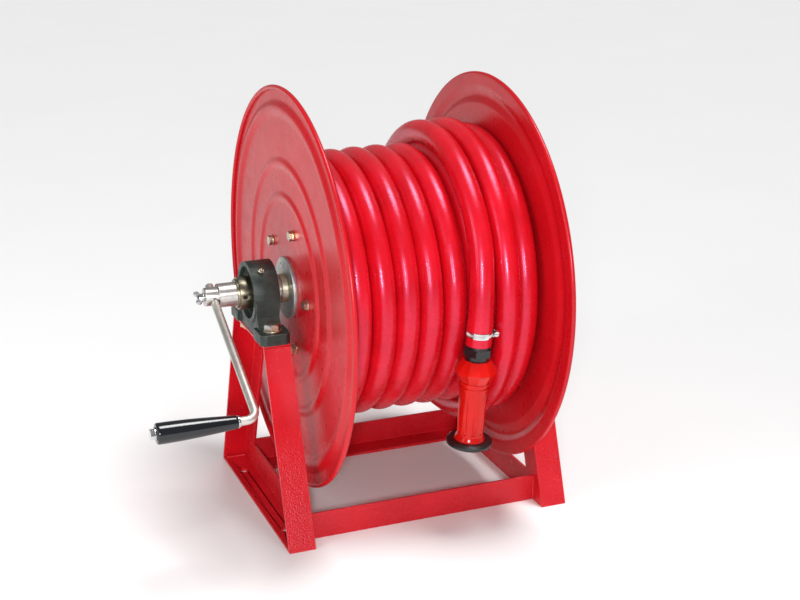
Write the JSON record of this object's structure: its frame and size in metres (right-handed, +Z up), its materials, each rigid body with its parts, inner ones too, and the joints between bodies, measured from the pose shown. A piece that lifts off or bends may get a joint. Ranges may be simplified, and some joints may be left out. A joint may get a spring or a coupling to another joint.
{
  "type": "fire hose reel",
  "caption": "Hand-cranked fire hose reel: ribbed disc drum with wound hose and jet nozzle, on a welded angle-iron floor frame with pillow block bearings.",
  "frame": {"origin": "on the floor, midway between the four floor bolts and below the middle of the drum", "axes": "+X along the axle from the crank to the water inlet, -Y to the front where the hose hangs, +Z up"},
  "size_m": [0.709, 0.591, 0.6324],
  "materials": {
    "frame_red": "textured powder coat",
    "disc_red": "gloss paint",
    "housing_iron": "satin paint",
    "zinc": "yellow-passivated zinc",
    "steel": "satin",
    "stainless": "polished",
    "brass": "turned",
    "rubber": "matt",
    "hose": "gloss PVC over woven fibre",
    "nozzle_red": "gloss",
    "grip_black": "gloss",
    "coupling_black": "satin"
  },
  "bodies": {
    "frame": {"left_front_leg": "frame_red", "left_rear_leg": "frame_red", "left_base_rail": "frame_red", "left_bearing_rail": "frame_red", "right_front_leg": "frame_red", "right_rear_leg": "frame_red", "right_base_rail": "frame_red", "right_bearing_rail": "frame_red", "front_cross_rail": "frame_red", "rear_cross_rail": "frame_red", "left_housing": "housing_iron", "right_housing": "housing_iron", "outer_rings": "steel", "bearing_seals": "rubber", "grease_nipples": "zinc", "housing_bolts": "zinc", "housing_washers": "zinc", "housing_nuts": "zinc"},
    "drum": {"inner_rings": "steel", "set_screws": "steel", "main_shaft": "stainless", "spacers": "steel", "left_hub": "zinc", "right_hub": "zinc", "hub_screws": "zinc", "hub_nuts": "zinc", "left_disc": "disc_red", "right_disc": "disc_red", "drum_core": "disc_red", "tie_rods": "zinc", "disc_bolts": "zinc", "disc_washers": "zinc", "riser_pipe": "zinc", "outlet_elbow": "zinc", "hose_start": "hose", "start_clamp": "stainless", "hose_coil": "hose", "hose_last_turn": "hose", "hose_tail": "hose", "tail_clamp": "stainless", "hose_coupling": "coupling_black", "nozzle_collar": "nozzle_red", "nozzle_stem": "brass", "stem_seal": "rubber", "swivel_circlip": "steel"},
    "crank": {"crank_rod": "stainless", "crank_collar": "stainless", "grip_bolt": "stainless"},
    "grip": {"grip": "grip_black"},
    "wing_screw": {"wing_screw": "stainless"},
    "clamp_screw": {"clamp_screw": "zinc"},
    "left_cage": {"left_ball_cage": "steel"},
    "right_cage": {"right_ball_cage": "steel"},
    "nozzle_barrel": {"nozzle_barrel": "nozzle_red", "nozzle_bumper": "rubber"},
    "inlet": {"swivel_body": "brass", "swivel_seals": "rubber", "swivel_plug": "brass"}
  },
  "joints": [
    {"name": "drum_spin", "type": "hinge", "parent": "frame", "child": "drum", "pos_m": [0, 0, 0.337], "axis": [1, 0, 0], "continuous": true},
    {"name": "left_cage_roll", "type": "hinge", "parent": "frame", "child": "left_cage", "pos_m": [0, 0, 0.337], "axis": [1, 0, 0], "continuous": true},
    {"name": "right_cage_roll", "type": "hinge", "parent": "frame", "child": "right_cage", "pos_m": [0, 0, 0.337], "axis": [1, 0, 0], "continuous": true},
    {"name": "inlet_swivel", "type": "hinge", "parent": "frame", "child": "inlet", "pos_m": [0, 0, 0.337], "axis": [1, 0, 0], "continuous": true},
    {"name": "crank_slide", "type": "slide", "parent": "drum", "child": "crank", "axis": [0, -0.8949, -0.4462], "range_m": [0, 0.028]},
    {"name": "grip_spin", "type": "hinge", "parent": "crank", "child": "grip", "pos_m": [-0.35, -0.21478, 0.22991], "axis": [1, 0, 0], "continuous": true},
    {"name": "wing_screw_turn", "type": "hinge", "parent": "drum", "child": "wing_screw", "pos_m": [-0.29, 0, 0.337], "axis": [1, 0, 0], "range_deg": [0, 360]},
    {"name": "clamp_screw_turn", "type": "hinge", "parent": "drum", "child": "clamp_screw", "pos_m": [0.07445, -0.2163, 0.30895], "axis": [-0.0035, -0.9971, -0.0766], "range_deg": [0, 360]},
    {"name": "nozzle_twist", "type": "hinge", "parent": "drum", "child": "nozzle_barrel", "pos_m": [0.052, -0.215, 0.293], "axis": [-0.0452, 0.0767, -0.996], "range_deg": [0, 270]}
  ],
  "couplings": [
    {"joint": "left_cage_roll", "follows": "drum_spin", "ratio": 0.3966},
    {"joint": "right_cage_roll", "follows": "drum_spin", "ratio": 0.3966}
  ]
}
